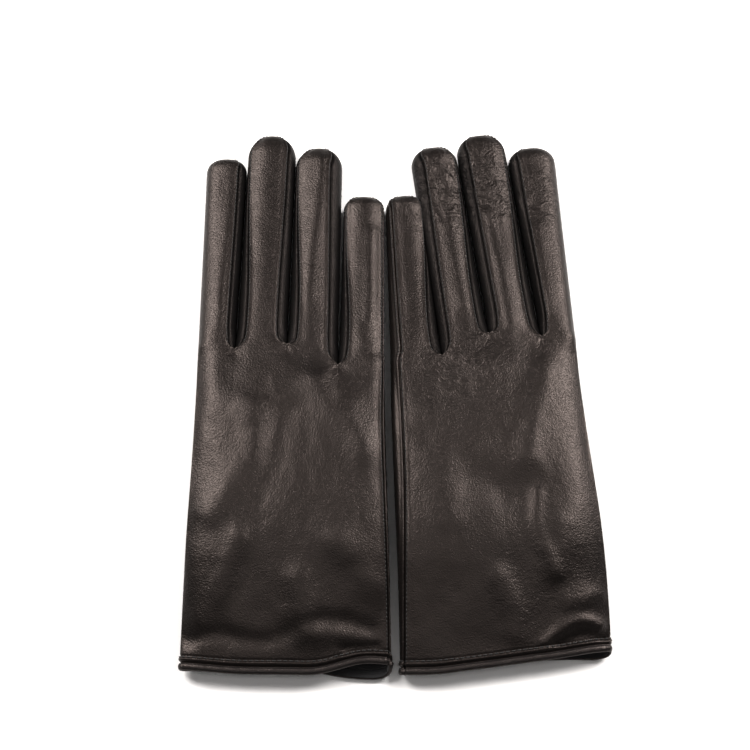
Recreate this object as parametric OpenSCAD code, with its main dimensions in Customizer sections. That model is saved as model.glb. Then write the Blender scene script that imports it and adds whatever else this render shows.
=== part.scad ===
// A pair of lined leather dress gloves, lying palms down side by side with the cuffs towards -Y.
// X runs from the right-hand glove to the left-hand glove, Y from the cuffs to the fingertips,
// Z up from the surface that they lie on. The origin is at the middle of the pair, on that surface.
// Each glove is a hand tube, four finger tubes with side strips, a thumb tucked under the palm,
// a bound cuff, a lining and the threads of its seams.

/* [Pair] */
// Length from the cuff's edge to the middle fingertip
glove_length = 240; // [228:1:256]
// Width across the knuckles, pressed flat
palm_width = 81; // [78:1:86]
// Width at the cuff's edge, pressed flat
cuff_width = 86; // [84:1:90]
// Gap between the two cuffs
cuff_gap = 3; // [2:0.5:8]

/* [Hand] */
// Thickness of the hand tube, from palm to back
hand_thickness = 13; // [12:0.5:15]
// Height of the palm over the surface, where the thumb lies under it
palm_lift = 8.2; // [8.2:0.1:10]
// Height of the hand tube over the surface at the knuckles
knuckle_lift = 4.5; // [3:0.5:6]
// Depth of the bound edge round the cuff
hem_depth = 5; // [4:0.5:6]

/* [Fingers] */
// Thickness of a finger near its tip
fingertip_thickness = 11.5; // [10.5:0.5:12.5]
// Height of the side strip between a finger's back and palm
strip_height = 5.4; // [5:0.1:6]
// Length of the strip-free cap at a fingertip
tip_cap = 12; // [11:0.5:15]

/* [Thumb] */
// Length from the thumb's root to its tip
thumb_length = 56; // [48:1:58]
// Width of the thumb, pressed flat
thumb_width = 19; // [18:0.5:20]
// Thickness of the thumb, pressed flat
thumb_thickness = 7.2; // [7.2:0.1:7.6]
// Angle between the tucked thumb and the glove's length
thumb_angle = 35; // [30:1:40]

/* [Materials] */
// Thickness of the leather
leather = 0.9; // [0.7:0.05:1]
// Thickness of the knitted lining
lining = 0.5; // [0.4:0.05:0.6]
// Radius of the sewing thread
thread_r = 0.2; // [0.15:0.01:0.2]
// Distance between stitches at the cuff and along the side
stitch_pitch = 5; // [4:0.5:8]
// Distance between stitches along a finger
finger_stitch_pitch = 8; // [6:0.5:12]

/* [Hidden] */
LEATHER_COLOUR = [0.13, 0.12, 0.11];
STRIP_COLOUR = [0.2, 0.18, 0.17];
BINDING_COLOUR = [0.17, 0.16, 0.15];
LINING_COLOUR = [0.3, 0.28, 0.28];
THREAD_COLOUR = [0.05, 0.05, 0.05];

// Clearances: within one glove's layers, between parts that move, and past a cut surface
layer_gap = 0.1;
moving_gap = 0.4;
past = 1;

// The positions below are for this length and width, and stretch with the two driving dimensions
NOMINAL_LENGTH = 240;
NOMINAL_WIDTH = 81;
kx = palm_width / NOMINAL_WIDTH;
ky = glove_length / NOMINAL_LENGTH;

// One finger: name, base x, base y, tip x, tip y, width at the base, width at the tip,
// and its strips, each with its side (-1 for -X, 1 for +X) and the finger that it faces.
// y is measured from the cuff's edge.
RIGHT_FINGERS = [
    ["index", -76, 134, -74.5, 228, 16.2, 17.4, [[1, "middle"]]],
    ["middle", -56.8, 136, -54, 240, 21, 21.4, [[-1, "index"], [1, "ring"]]],
    ["ring", -35, 132, -32.7, 234, 20.8, 19.8, [[-1, "middle"], [1, "little"]]],
    ["little", -13.9, 127, -13.2, 209.5, 19.8, 17, [[-1, "ring"]]]
];
LEFT_FINGERS = [
    ["little", 9, 128, 4, 210, 20.6, 14.6, [[1, "ring"]]],
    ["ring", 30, 134, 19.2, 234, 20, 19.4, [[-1, "little"], [1, "middle"]]],
    ["middle", 51.4, 139, 39.6, 240, 21, 19.8, [[-1, "ring"], [1, "index"]]],
    ["index", 70.4, 139, 61.2, 234, 15.6, 20, [[-1, "middle"]]]
];

// One glove: name, side (-1 for -X), middle of the hand tube's width at the knuckles, fingers
GLOVES = [
    ["right", -1, -44, RIGHT_FINGERS],
    ["left", 1, 38.3, LEFT_FINGERS]
];

// Stations along the hand tube, measured from the cuff's edge
hem_seam_y = 8;
cuff_rest_y = 14;
ramp_start_y = 22;
ramp_end_y = 50;
palm_end_y = 112 * ky;
knuckle_y = 127 * ky;
hand_end_y = 141 * ky;
cuff_lift = 0.6;
cuff_thickness = hand_thickness - 0.7;

// Cross-sections: number of sides, and how square the rounded outline is
hand_sides = 24;
finger_sides = 16;
hand_squareness = 3.2;
finger_squareness = 3;
dome_angles = [0, 25, 50, 70, 84];

// The strip lies deeper than the finger's back, so that the threads fit over it
strip_depth = 0.5;
strip_wall = 0.7;
lining_depth = strip_depth + strip_wall + layer_gap;
lining_inner = lining_depth + lining;
strip_row_z = 1.9;
finger_stitch = 3;
seam_stitch = 2.4;
thread_lift = thread_r + 0.05;
binding_proud = 0.3;

// The thumb turns on a collar that passes through the palm
thumb_root_y = 64 * ky;
thumb_root_x = 22.5 * kx;
collar_r = 8;
collar_wall = 0.9;
collar_top = palm_lift + leather;
thumb_seam_r = collar_r + 1.5;
thumb_stitches = 14;
thumb_hole_r = collar_r + moving_gap;

function spow(v, e) = sign(v) * pow(abs(v), e);

// A rounded outline that reaches 1 and -1 both ways, with a flat on each of its four sides
function unit_outline(sides, squareness) =
    let (e = 2 / squareness, reach = pow(cos(180 / sides), e))
    [for (i = [0:sides - 1]) let (t = 360 * (i + 0.5) / sides) [spow(cos(t), e), spow(sin(t), e)] / reach];

HAND_OUTLINE = unit_outline(hand_sides, hand_squareness);
FINGER_OUTLINE = unit_outline(finger_sides, finger_squareness);

function ring_at(outline, x, y, z, a, b) = [for (p = outline) [x + a * p[0], y, z + b * p[1]]];

// A closed solid through rings of points that lie in planes across Y
module loft(rings) {
    n = len(rings[0]);
    last = len(rings) - 1;
    sides = [
        for (k = [0:last - 1], i = [0:n - 1])
        [k * n + i, k * n + (i + 1) % n, (k + 1) * n + (i + 1) % n, (k + 1) * n + i]
    ];
    first_cap = [for (i = [0:n - 1]) n - 1 - i];
    last_cap = [for (i = [0:n - 1]) last * n + i];
    polyhedron(points = [for (r = rings, p = r) p], faces = concat([first_cap], sides, [last_cap]));
}

// ---- hand tube ----

function side_of(glove) = glove[1];
function cuff_x(glove) = side_of(glove) * (cuff_gap + cuff_width) / 2;
function knuckle_x(glove) = glove[2] * kx;
function along_hand(y) = min(1, y / knuckle_y);
function hand_x(glove, y) = cuff_x(glove) + (knuckle_x(glove) - cuff_x(glove)) * along_hand(y);
function hand_a(y) = (cuff_width + (palm_width - 0.8 - cuff_width) * along_hand(y)) / 2;

HAND_BOTTOM = [
    [0, cuff_lift],
    [hem_seam_y, cuff_lift],
    [cuff_rest_y, 0],
    [ramp_start_y, 0],
    [ramp_end_y, palm_lift],
    [palm_end_y, palm_lift],
    [knuckle_y, knuckle_lift],
    [hand_end_y, knuckle_lift]
];
HAND_TOP = [
    [0, cuff_lift + cuff_thickness],
    [cuff_rest_y, cuff_lift + cuff_thickness],
    [ramp_start_y, cuff_lift + cuff_thickness],
    [ramp_end_y, palm_lift + hand_thickness],
    [palm_end_y, palm_lift + hand_thickness],
    [knuckle_y, knuckle_lift + hand_thickness],
    [hand_end_y, knuckle_lift + hand_thickness]
];
function hand_low(y) = lookup(y, HAND_BOTTOM);
function hand_high(y) = lookup(y, HAND_TOP);
function hand_mid(y) = (hand_low(y) + hand_high(y)) / 2;

function hand_ring(glove, y, inset) = ring_at(
    HAND_OUTLINE, hand_x(glove, y), y, hand_mid(y), hand_a(y) - inset, (hand_high(y) - hand_low(y)) / 2 - inset
);

// The hand tube's outer shape, drawn in by inset, from y0 to y1
module hand_solid(glove, inset, y0, y1) {
    between = [for (s = HAND_BOTTOM) if (s[0] > y0 && s[0] < y1) s[0]];
    loft([for (y = concat([y0], between, [y1])) hand_ring(glove, y, inset)]);
}

// What lies in front of the fingers' bases, seen from above
module beyond_knuckles(glove) {
    reach = 2 * glove_length;
    corners = [
        for (f = glove[3], side = [-1, 1])
        let (d = finger_direction(f), half = finger_base_a(f) + moving_gap)
        finger_base(f) + side * half * [d[1], -d[0]] - moving_gap * d
    ];
    far_side = [[reach, corners[7][1]], [reach, reach], [-reach, reach], [-reach, corners[0][1]]];
    translate([0, 0, -past])
        linear_extrude(height = palm_lift + 2 * hand_thickness)
            polygon(concat(corners, far_side));
}

module hand_layer(glove, outer, inner) {
    difference() {
        hand_solid(glove, outer, hem_depth + layer_gap, hand_end_y - layer_gap);
        hand_solid(glove, inner, hem_depth - past, hand_end_y);
        beyond_knuckles(glove);
        thumb_root(glove)
            cylinder(h = palm_lift + hand_thickness / 2, r = thumb_hole_r, $fn = 48);
    }
}

module hand_shell(glove) {
    color(LEATHER_COLOUR)
        hand_layer(glove, 0, leather);
}

module hand_lining(glove) {
    color(LINING_COLOUR)
        hand_layer(glove, leather + layer_gap, leather + layer_gap + lining);
}

module cuff_binding(glove) {
    color(BINDING_COLOUR)
        difference() {
            hand_solid(glove, -binding_proud, 0, hem_depth);
            hand_solid(glove, leather + layer_gap + lining + binding_proud, -past, hem_depth + past);
        }
}

// ---- threads ----

module stitch(length) {
    rotate([0, 90, 0])
        cylinder(h = length, r = thread_r, center = true, $fn = 24);
}

// Height of the hand's back or palm at x, on the ring at y
function hand_surface(glove, x, y, up) =
    let (ring = hand_ring(glove, y, 0), half = [for (p = ring) if (up * (p[2] - hand_mid(y)) > 0) [p[0], p[2]]])
    lookup(x, up > 0 ? [for (i = [len(half) - 1:-1:0]) half[i]] : half);

// A row of stitches round the back and the palm of the cuff, just above the bound edge
module hem_stitching(glove) {
    y = hem_seam_y - 0.6;
    count = floor(0.86 * cuff_width / stitch_pitch / 2);
    color(THREAD_COLOUR)
        for (up = [-1, 1], i = [-count:count]) {
            x = hand_x(glove, y) + i * stitch_pitch;
            left = hand_surface(glove, x - seam_stitch / 2, y, up);
            right = hand_surface(glove, x + seam_stitch / 2, y, up);
            translate([x, y, hand_surface(glove, x, y, up) + up * thread_lift])
                rotate([0, -atan2(right - left, seam_stitch), 0])
                    stitch(seam_stitch);
        }
}

// The long seam on the little finger's side, from the cuff to the knuckles
module side_seam_stitching(glove) {
    count = floor((knuckle_y - 2 * hem_seam_y) / stitch_pitch);
    color(THREAD_COLOUR)
        for (i = [0:count]) {
            y = 1.5 * hem_seam_y + i * stitch_pitch;
            translate([hand_x(glove, y) - side_of(glove) * (hand_a(y) + thread_lift), y, hand_mid(y)])
                rotate([0, 0, 90])
                    stitch(seam_stitch);
        }
}

// The round seam where the thumb is sewn to the palm
module thumb_seam_stitching(glove) {
    color(THREAD_COLOUR)
        thumb_root(glove)
            for (i = [0:thumb_stitches - 1])
                rotate([0, 0, 360 * i / thumb_stitches])
                    translate([0, thumb_seam_r, palm_lift - thread_lift - layer_gap])
                        stitch(seam_stitch);
}

// ---- fingers ----

function finger_base(f) = [f[1] * kx, f[2] * ky];
function finger_tip(f) = [f[3] * kx, f[4] * ky];
function finger_direction(f) = (finger_tip(f) - finger_base(f)) / norm(finger_tip(f) - finger_base(f));
function finger_base_a(f) = f[5] * kx / 2;
function finger_tip_a(f) = f[6] * kx / 2;
finger_base_b = hand_thickness / 2;
finger_tip_b = fingertip_thickness / 2;
finger_base_z = knuckle_lift + finger_base_b;
function finger_drop(f) =
    atan2(finger_base_z - finger_tip_b, norm(finger_tip(f) - finger_base(f)));
function finger_length(f) = norm(finger_tip(f) - finger_base(f)) / cos(finger_drop(f));

// Puts its children at the finger's base, with +Y along the finger
module on_finger(f) {
    d = finger_direction(f);
    translate([finger_base(f)[0], finger_base(f)[1], finger_base_z])
        rotate([-finger_drop(f), 0, -atan2(d[0], d[1])])
            children();
}

// Half width of a finger at a distance from its base
function finger_a(f, y) = finger_base_a(f) + (finger_tip_a(f) - finger_base_a(f)) * y / finger_length(f);
function finger_b(f, y) = finger_base_b + (finger_tip_b - finger_base_b) * y / finger_length(f);

// A finger's outer shape, drawn in by inset, with a round tip, starting a little behind the base
module finger_solid(f, inset, behind = 0) {
    r = finger_tip_a(f);
    shoulder = finger_length(f) - r;
    dome = [
        for (t = dome_angles)
        let (y = shoulder + (r - inset) * sin(t))
        ring_at(
            FINGER_OUTLINE, 0, y, 0, (finger_a(f, y) - inset) * cos(t), (finger_b(f, y) - inset) * pow(cos(t), 0.7)
        )
    ];
    base = ring_at(FINGER_OUTLINE, 0, -behind, 0, finger_base_a(f) - inset, finger_base_b - inset);
    loft(concat([base], dome));
}

module finger_layer(f, outer, inner) {
    difference() {
        finger_solid(f, outer);
        finger_solid(f, inner, past);
    }
}

// The space that a strip takes on one side of a finger
module strip_space(f, side, gap) {
    far = 2 * finger_tip_a(f);
    height = strip_height + 2 * gap;
    length = finger_length(f) - tip_cap + gap;
    translate([side > 0 ? 0 : -far, -past, -height / 2])
        cube([far, length + past, height]);
}

module finger_shell(f) {
    color(LEATHER_COLOUR)
        on_finger(f)
            difference() {
                finger_layer(f, 0, leather);
                for (strip = f[7])
                    strip_space(f, strip[0], layer_gap);
            }
}

module fourchette(f, side) {
    color(STRIP_COLOUR)
        on_finger(f)
            intersection() {
                finger_layer(f, strip_depth, strip_depth + strip_wall);
                strip_space(f, side, 0);
            }
}

module finger_lining(f) {
    color(LINING_COLOUR)
        on_finger(f)
            finger_layer(f, lining_depth, lining_inner);
}

// Two rows of stitches, on the upper and the lower edge of each strip
module finger_stitching(f) {
    start = finger_stitch + 1;
    count = floor((finger_length(f) - tip_cap - 2 * start) / finger_stitch_pitch);
    color(THREAD_COLOUR)
        on_finger(f)
            for (strip = f[7], row = [-1, 1], i = [0:count]) {
                y = start + i * finger_stitch_pitch;
                translate([strip[0] * (finger_a(f, y) - strip_depth / 2), y, row * strip_row_z])
                    rotate([0, 0, 90])
                        stitch(finger_stitch);
            }
}

// ---- thumb ----

// Puts its children on the axis that the thumb turns about, on the surface below it
module thumb_root(glove) {
    translate([hand_x(glove, thumb_root_y) + side_of(glove) * thumb_root_x, thumb_root_y, 0])
        children();
}

module thumb_solid(inset) {
    a = thumb_width / 2;
    b = thumb_thickness / 2;
    root = [
        for (i = [len(dome_angles) - 1:-1:0])
        let (t = dome_angles[i])
        ring_at(FINGER_OUTLINE, 0, -(a - inset) * sin(t), b, (a - inset) * cos(t), (b - inset) * pow(cos(t), 0.5))
    ];
    tip = [
        for (t = dome_angles)
        ring_at(
            FINGER_OUTLINE, 0, thumb_length - a + (a - inset) * sin(t), b,
            (a - 1 - inset) * cos(t), (b - inset) * pow(cos(t), 0.5)
        )
    ];
    loft(concat(root, tip));
}

module on_thumb(glove) {
    thumb_root(glove)
        rotate([0, 0, side_of(glove) * thumb_angle])
            children();
}

module thumb_shell(glove) {
    color(LEATHER_COLOUR)
        on_thumb(glove)
            difference() {
                union() {
                    thumb_solid(0);
                    translate([0, 0, thumb_thickness / 2])
                        cylinder(h = collar_top - thumb_thickness / 2, r = collar_r, $fn = 48);
                }
                thumb_solid(leather);
                translate([0, 0, thumb_thickness / 2])
                    cylinder(h = palm_lift, r = collar_r - collar_wall, $fn = 48);
            }
}

module thumb_lining(glove) {
    outer = leather + layer_gap;
    color(LINING_COLOUR)
        on_thumb(glove)
            difference() {
                thumb_solid(outer);
                thumb_solid(outer + lining);
                translate([0, 0, thumb_thickness / 2])
                    cylinder(h = thumb_thickness, r = collar_r + layer_gap, $fn = 48);
            }
}

// ---- nodes ----

function fourchette_name(glove, f, strip) = str(glove[0], "_", f[0], "_fourchette_by_", strip[1]);

HAND_NODES = ["hand_shell", "hand_lining", "cuff_binding", "hem_stitching", "side_seam_stitching"];
THUMB_NODES = ["thumb_seam_stitching", "thumb_shell", "thumb_lining"];
FINGER_NODES = ["shell", "lining", "stitching"];

// Moves the cuff's edge from y = 0 to its place in front of the origin
module in_frame() {
    translate([0, -glove_length / 2, 0])
        children();
}

for (g = GLOVES) {
    in_frame() hand_shell(g);
    in_frame() hand_lining(g);
    in_frame() cuff_binding(g);
    in_frame() hem_stitching(g);
    in_frame() side_seam_stitching(g);
    in_frame() thumb_seam_stitching(g);
    in_frame() thumb_shell(g);
    in_frame() thumb_lining(g);
    for (f = g[3]) {
        in_frame() finger_shell(f);
        in_frame() finger_lining(f);
        in_frame() finger_stitching(f);
        for (strip = f[7])
            in_frame() fourchette(f, strip[0]);
    }
}
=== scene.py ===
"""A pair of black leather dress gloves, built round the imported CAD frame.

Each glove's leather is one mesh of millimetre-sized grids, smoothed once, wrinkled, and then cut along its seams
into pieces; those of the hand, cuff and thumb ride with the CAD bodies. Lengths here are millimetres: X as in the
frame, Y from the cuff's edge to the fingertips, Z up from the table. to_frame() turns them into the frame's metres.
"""

import math

import bmesh
import bpy
import numpy as np
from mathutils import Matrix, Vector, noise
from mathutils.kdtree import KDTree


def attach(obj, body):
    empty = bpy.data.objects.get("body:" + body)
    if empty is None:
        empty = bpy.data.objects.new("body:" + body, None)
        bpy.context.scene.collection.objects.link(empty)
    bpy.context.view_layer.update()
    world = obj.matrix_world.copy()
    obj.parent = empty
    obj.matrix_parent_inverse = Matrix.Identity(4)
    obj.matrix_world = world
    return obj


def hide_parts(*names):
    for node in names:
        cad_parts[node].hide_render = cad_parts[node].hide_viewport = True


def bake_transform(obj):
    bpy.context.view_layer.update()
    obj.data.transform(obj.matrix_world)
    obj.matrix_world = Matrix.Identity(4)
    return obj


MM = 0.001
HALF_LENGTH = 120.0

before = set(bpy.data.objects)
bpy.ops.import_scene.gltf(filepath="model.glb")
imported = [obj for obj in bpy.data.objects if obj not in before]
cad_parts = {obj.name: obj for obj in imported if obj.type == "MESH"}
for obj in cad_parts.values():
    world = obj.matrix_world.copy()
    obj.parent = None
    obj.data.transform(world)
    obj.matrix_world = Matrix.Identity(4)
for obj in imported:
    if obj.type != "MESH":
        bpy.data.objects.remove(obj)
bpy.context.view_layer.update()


def to_frame(points):
    return (np.asarray(points, float) - [0, HALF_LENGTH, 0]) * MM


# ---------------------------------------------------------------- the gloves' measures

# Each glove from -X to +X. crotches also has the outer edges beside its first and last finger. A finger has its tip,
# its half width at the tip's shoulder, how far its seam rolls on to the back, in degrees, and how round its tip is.
# outer says whether each outer edge is a fold or sewn. The cuff's edge is given as share of the way across and Y.
GLOVES = {
    "right": {
        "cuff": (-87.0, -1.7),
        "bulge": (0.6, 0.0),
        "crotches": [(-83.7, 134.0), (-67.8, 134.4), (-45.7, 136.6), (-23.9, 127.2), (-4.2, 128.0)],
        "fingers": [
            {"name": "index", "tip": (-74.6, 228.0), "half": 9.0, "roll": 50, "blunt": 0.68},
            {"name": "middle", "tip": (-54.3, 240.0), "half": 10.7, "roll": 46, "blunt": 1.0},
            {"name": "ring", "tip": (-33.1, 233.8), "half": 10.4, "roll": 60, "blunt": 0.94},
            {"name": "little", "tip": (-13.2, 209.4), "half": 8.8, "roll": 22, "blunt": 0.7},
        ],
        "outer": ("fold", "side"),
        "side_seam": {"cuff": 18, "hand": 22, "base": 30, "tip": 24},
        "cuff_top": [(0, 0.2), (0.28, -2.0), (0.67, -2.4), (0.8, 0.8), (0.88, 2.6), (1, 2.0)],
        "cuff_palm": [(0, 0.2), (0.3, 0.8), (0.6, 0.4), (0.72, -2.0), (0.85, -3.2), (0.94, -3.0), (1, 2.0)],
    },
    "left": {
        "cuff": (1.7, 87.2),
        "bulge": (0.0, 0.4),
        "crotches": [(-1.7, 128.0), (20.3, 131.4), (40.5, 141.5), (62.7, 140.2), (77.6, 139.0)],
        "fingers": [
            {"name": "little", "tip": (4.6, 209.8), "half": 8.5, "roll": 22, "blunt": 0.74},
            {"name": "ring", "tip": (17.4, 234.2), "half": 10.4, "roll": 62, "blunt": 0.84},
            {"name": "middle", "tip": (38.4, 240.2), "half": 10.9, "roll": 54, "blunt": 0.84},
            {"name": "index", "tip": (61.6, 233.8), "half": 10.5, "roll": 52, "blunt": 0.72},
        ],
        "outer": ("side", "fold"),
        "side_seam": {"cuff": 25, "hand": 38, "base": 60, "tip": 50},
        "cuff_top": [(0, -2.2), (0.15, -2.2), (0.42, 0.8), (0.72, 4.2), (0.9, 6.8), (1, 7.8)],
        "cuff_palm": [(0, -2.2), (0.3, 1.5), (0.6, 4.5), (0.85, 5.2), (0.9, 4.6), (0.96, 4.8), (1, 7.8)],
    },
}

# Folds pressed into the backs: how far they stand up (a valley is negative), half width, and the line they follow
FOLD_STRENGTH = 0.88
FOLDS = {
    "right": [
        (-0.9, 5.5, [(-46, 104), (-52, 85), (-56, 64), (-60, 42), (-72, 18)]),
        (1.2, 6.5, [(-59, 106), (-58, 88), (-66, 76), (-76, 62)]),
        (1.6, 6.0, [(-63, 50), (-68, 36), (-76, 18)]),
        (2.0, 6.0, [(-39, 34), (-36, 16)]),
        (-1.1, 3.5, [(-83, 11), (-73, 14), (-58, 10), (-48, 11), (-36, 17), (-23, 19.5), (-10, 15)]),
        (-1.0, 2.2, [(-20, 7.5), (-8, 8.5)]),
        (0.5, 3.2, [(-32, 12), (-14, 13), (-8, 12)]),
        (2.2, 8.0, [(-32, 118), (-22, 104), (-12, 90)]),
        (1.5, 7.0, [(-22, 49), (-19, 46)]),
        (1.0, 6.0, [(-12, 35), (-9, 32)]),
        (-2.2, 7.0, [(-88, 16), (-87, 60), (-85, 130)]),
        (1.0, 4.5, [(-70, 224), (-70, 208), (-75, 165), (-74, 146)]),
        (0.9, 4.0, [(-31.5, 226), (-32, 212), (-36, 173), (-37, 158)]),
        (0.8, 3.5, [(-9, 190), (-10, 150)]),
    ],
    "left": [
        (1.5, 6.0, [(64, 124), (58, 100), (55, 85)]),
        (1.1, 3.2, [(58, 69), (56, 55), (65, 37)]),
        (1.6, 7.0, [(66, 56), (64, 40)]),
        (-1.4, 9.0, [(34, 74), (52, 68)]),
        (1.2, 5.0, [(42, 34), (49, 20), (48, 14)]),
        (1.3, 2.4, [(60, 10), (69, 17), (77, 19), (83, 17)]),
        (-1.0, 2.6, [(66, 9.5), (76, 13), (84, 12)]),
        (1.0, 4.0, [(70, 26), (83, 29)]),
        (1.0, 7.0, [(36, 126), (50, 128)]),
        (0.9, 8.0, [(14, 84), (20, 60)]),
        (-2.2, 7.0, [(88, 16), (85, 60), (80, 130)]),
        (0.9, 4.0, [(62, 192), (65, 151)]),
        (0.8, 4.0, [(41, 198), (46, 172), (50, 146)]),
        (0.8, 4.0, [(25, 194), (30, 155)]),
        (-0.3, 0.9, [(60, 204), (65, 201), (70, 199)]),
    ],
}
# Where the hand's slack has begun to fade into the fingers, and over what length
HAND_END, HAND_FADE = 118.0, 40.0
# Puckers round the crotches: height, distance, half width
PUCKERS = (0.06, 3.8, 2.4)
# How often normals are averaged: to tell which way the back faces, and to set back the sheets inside
UPWARD_ROUNDS, OUTWARD_ROUNDS = 24, 8
# Fingertips that have been crushed: centre and radius
CRINKLED = {"right": [], "left": [((17, 212), 18), ((39, 212), 17)]}
# How deep the leather's round grain and its fine creases are, measured against its pores
GRAIN_SHARE = 0.6
CREASE_DEPTH = 9.0
# Places with fine creases: centre, radius, strength
CREASED = {
    "right": [((-70, 60), 30, 0.15), ((-40, 30), 30, 0.15)],
    "left": [((14, 214), 12, 1.0), ((24, 202), 14, 0.8), ((36, 220), 12, 1.0), ((42, 206), 13, 0.9),
             ((64, 208), 14, 0.7), ((30, 125), 22, 0.5), ((62, 30), 24, 0.3), ((60, 80), 30, 0.2)],
}

# Heights of the hand's palm and back above the table, by distance from the cuff
HAND_LOW = [(0, 0.8), (8, 0.5), (16, 0.3), (24, 1.0), (52, 8.0), (108, 8.2), (127, 4.8), (142, 4.6)]
HAND_HIGH = [(0, 8.4), (12, 11.0), (24, 14.2), (52, 20.2), (80, 20.8), (108, 20.4), (127, 18.0), (142, 17.4)]
# Gaps between fingers: half their width, where they begin above the crotch, and how far the crotch is rounded
GAP_HALF = 0.6
GAP_START = 2.5
GAP_ROUND = 3.8
# Squareness of the sections: a finger's, what its base has besides at a crotch or an outer edge, and the hand's
FINGER_POWER, CROTCH_POWER, EDGE_POWER = 2.25, 0.6, 1.05
HAND_POWER = 4.0
# A finger's middle height, and its half thickness upwards and downwards: at its base, and how much less at its tip
FINGER_MIDDLE, FINGER_UP, FINGER_DOWN = (11.2, 5.3), (6.3, 0.5), (6.3, 0.7)
# How far down the hand the fingers' outlines and their heights reach, and the width that the heights are blurred over
OUTLINE_REACH, HEIGHT_REACH, HEIGHT_BLUR = 8.0, 28.0, 7.0
# Angles of the seams on a finger's section: at its base, for the tucked one at its shoulder, and for all at its tip
SEAM_BASE, SEAM_TUCKED = 53.0, 26.0
TIP_SEAM = 26.0

# Distance from a seam, and how far the leather stands proud of the plain surface there
SEAM_EDGE = [0.0, 0.28, 0.55, 0.85, 1.2, 1.7, 2.4, 3.4]
SEAM_RISE = [-0.8, -0.2, 0.36, 0.5, 0.34, 0.1, 0.0, 0.0]
WALL_EDGE = [0.0, 0.3, 0.7, 1.2]
WALL_RISE = [-0.8, -0.2, 0.3, 0.35]
# Points across a panel and a side strip between their edges, and the point that the stitches follow
PANEL_MIDDLE, WALL_MIDDLE = 9, 5
STITCH_COLUMN = 3
WELD = 0.08

# The cuff's bound edge: points round it, and its section about the rim
RIM_POINTS = 190
BINDING = {"ahead": 0.75, "reach": 1.45, "outer": 1.05, "inner": 0.85, "sunk": 0.45}

# Thickness of the leather and of its lining, and how deep the lining's outer face lies
LEATHER = 0.9
LINING = 0.5
LINING_DEPTH = 0.95

# Distance from the cuff's edge, and the rise of the turned hem there
HEM_EDGE = [0.0, 1.8, 2.3, 2.7, 3.1, 3.7, 4.3, 4.7, 5.1, 5.7, 6.6]
HEM_RISE = [0.0, 0.0, -0.5, -0.4, 0.35, 0.6, 0.4, -0.15, -0.3, 0.0, 0.0]
HEM_STITCHES = 4.6
HEM_THREAD = {"pitch": 2.3, "long": 1.6, "thick": 0.62}

# The thumbs: their measures from the joint, their height over the table, and where each one's joint stands
THUMB = {"length": 55.6, "heel": 7.5, "half": 9.3, "taper": 1.2, "thick": 6.8, "raised": 0.25, "angle": 35.0}
THUMB_ROOT = {"right": (-66.75, 64.0), "left": (63.88, 64.0)}
# The round seam's collar between thumb and palm, as radius and height, and the stitches round it
COLLAR = [(7.2, 4.5), (7.9, 5.6), (8.1, 6.8), (8.5, 7.5), (8.9, 7.9), (8.6, 8.3), (7.6, 8.5)]
THUMB_STITCHES = (9.0, 7.9)


def smoothstep(t):
    t = np.clip(t, 0, 1)
    return t * t * (3 - 2 * t)


def along(table, x, blur=0.0):
    """A table's value at x, averaged over a width of blur either side so that its corners are round."""
    xs, ys = zip(*table)
    x = np.asarray(x, float)
    reach = np.minimum(blur, np.minimum(x - xs[0], xs[-1] - x)).clip(0)
    return np.mean([np.interp(x + reach * k, xs, ys) for k in np.linspace(-1, 1, 9)], axis=0)


def walked_along(points):
    """Each point's distance from the first one, along the line through them."""
    return np.concatenate([[0], np.cumsum(np.linalg.norm(np.diff(points, axis=0), axis=1))])


def columns_at(x, places, table):
    """The table's rows at x, where its own rows stand at places."""
    return np.stack([np.interp(x, places, column) for column in table.T], -1)


def unit(rows):
    """Each row made one long."""
    return rows / np.maximum(np.linalg.norm(rows, axis=1, keepdims=True), 1e-9)


class Section:
    """A closed cross-section. Its angle runs from +X over the top. powers are the squareness of its right and left
    halves: 2 for an ellipse, growing towards a box."""

    def __init__(self, half_width, middle_z, half_up, half_down, powers, flat=0.0, reach=(1.0, 1.0)):
        self.a, self.z, self.up_b, self.down_b = half_width, middle_z, half_up, half_down
        self.powers, self.flat, self.reach = powers, flat, reach

    def at(self, degrees):
        angle = np.radians(degrees)
        c, s = np.cos(angle), np.sin(angle)
        power = 2 / np.where(c > 0, *self.powers)
        x = np.sign(c) * np.abs(c) ** power
        z = np.sign(s) * np.abs(s) ** power
        # a flattened section spreads what lies between its seams over the whole width
        x = x + self.flat * (np.clip(x / np.where(c > 0, *self.reach), -1, 1) - x)
        return np.stack([self.a * x, self.z + np.where(s >= 0, self.up_b, self.down_b) * z], -1)

    def walk(self, start, end, places):
        """Points along the outline from angle start to angle end, with their outward normals and the distance walked.
        places gives the distances, from the whole length."""
        over = 4.0 if end > start else -4.0
        angles = np.concatenate([np.linspace(start - over, start, 9)[:-1], np.linspace(start, end, 281),
                                 np.linspace(end, end + over, 9)[1:]])
        dense = self.at(angles)
        length = walked_along(dense)
        turn = np.sign(over)
        first, last = np.interp([start * turn, end * turn], angles * turn, length)
        walked = places(last - first)
        distance = first + walked
        points = columns_at(distance, length, dense)
        step = 0.15
        tangent = unit(columns_at(distance + step, length, dense) - columns_at(distance - step, length, dense))
        normal = np.stack([tangent[:, 1], -tangent[:, 0]], -1) * turn
        return points, normal, walked


def panel_places(length):
    """Distances across a panel: close together at its two edges, even in the middle."""
    edge = np.array(SEAM_EDGE) * min(1.0, 0.4 * length / SEAM_EDGE[-1])
    middle = np.linspace(edge[-1], length - edge[-1], PANEL_MIDDLE + 2)[1:-1]
    return np.concatenate([edge, middle, length - edge[::-1]])


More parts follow.
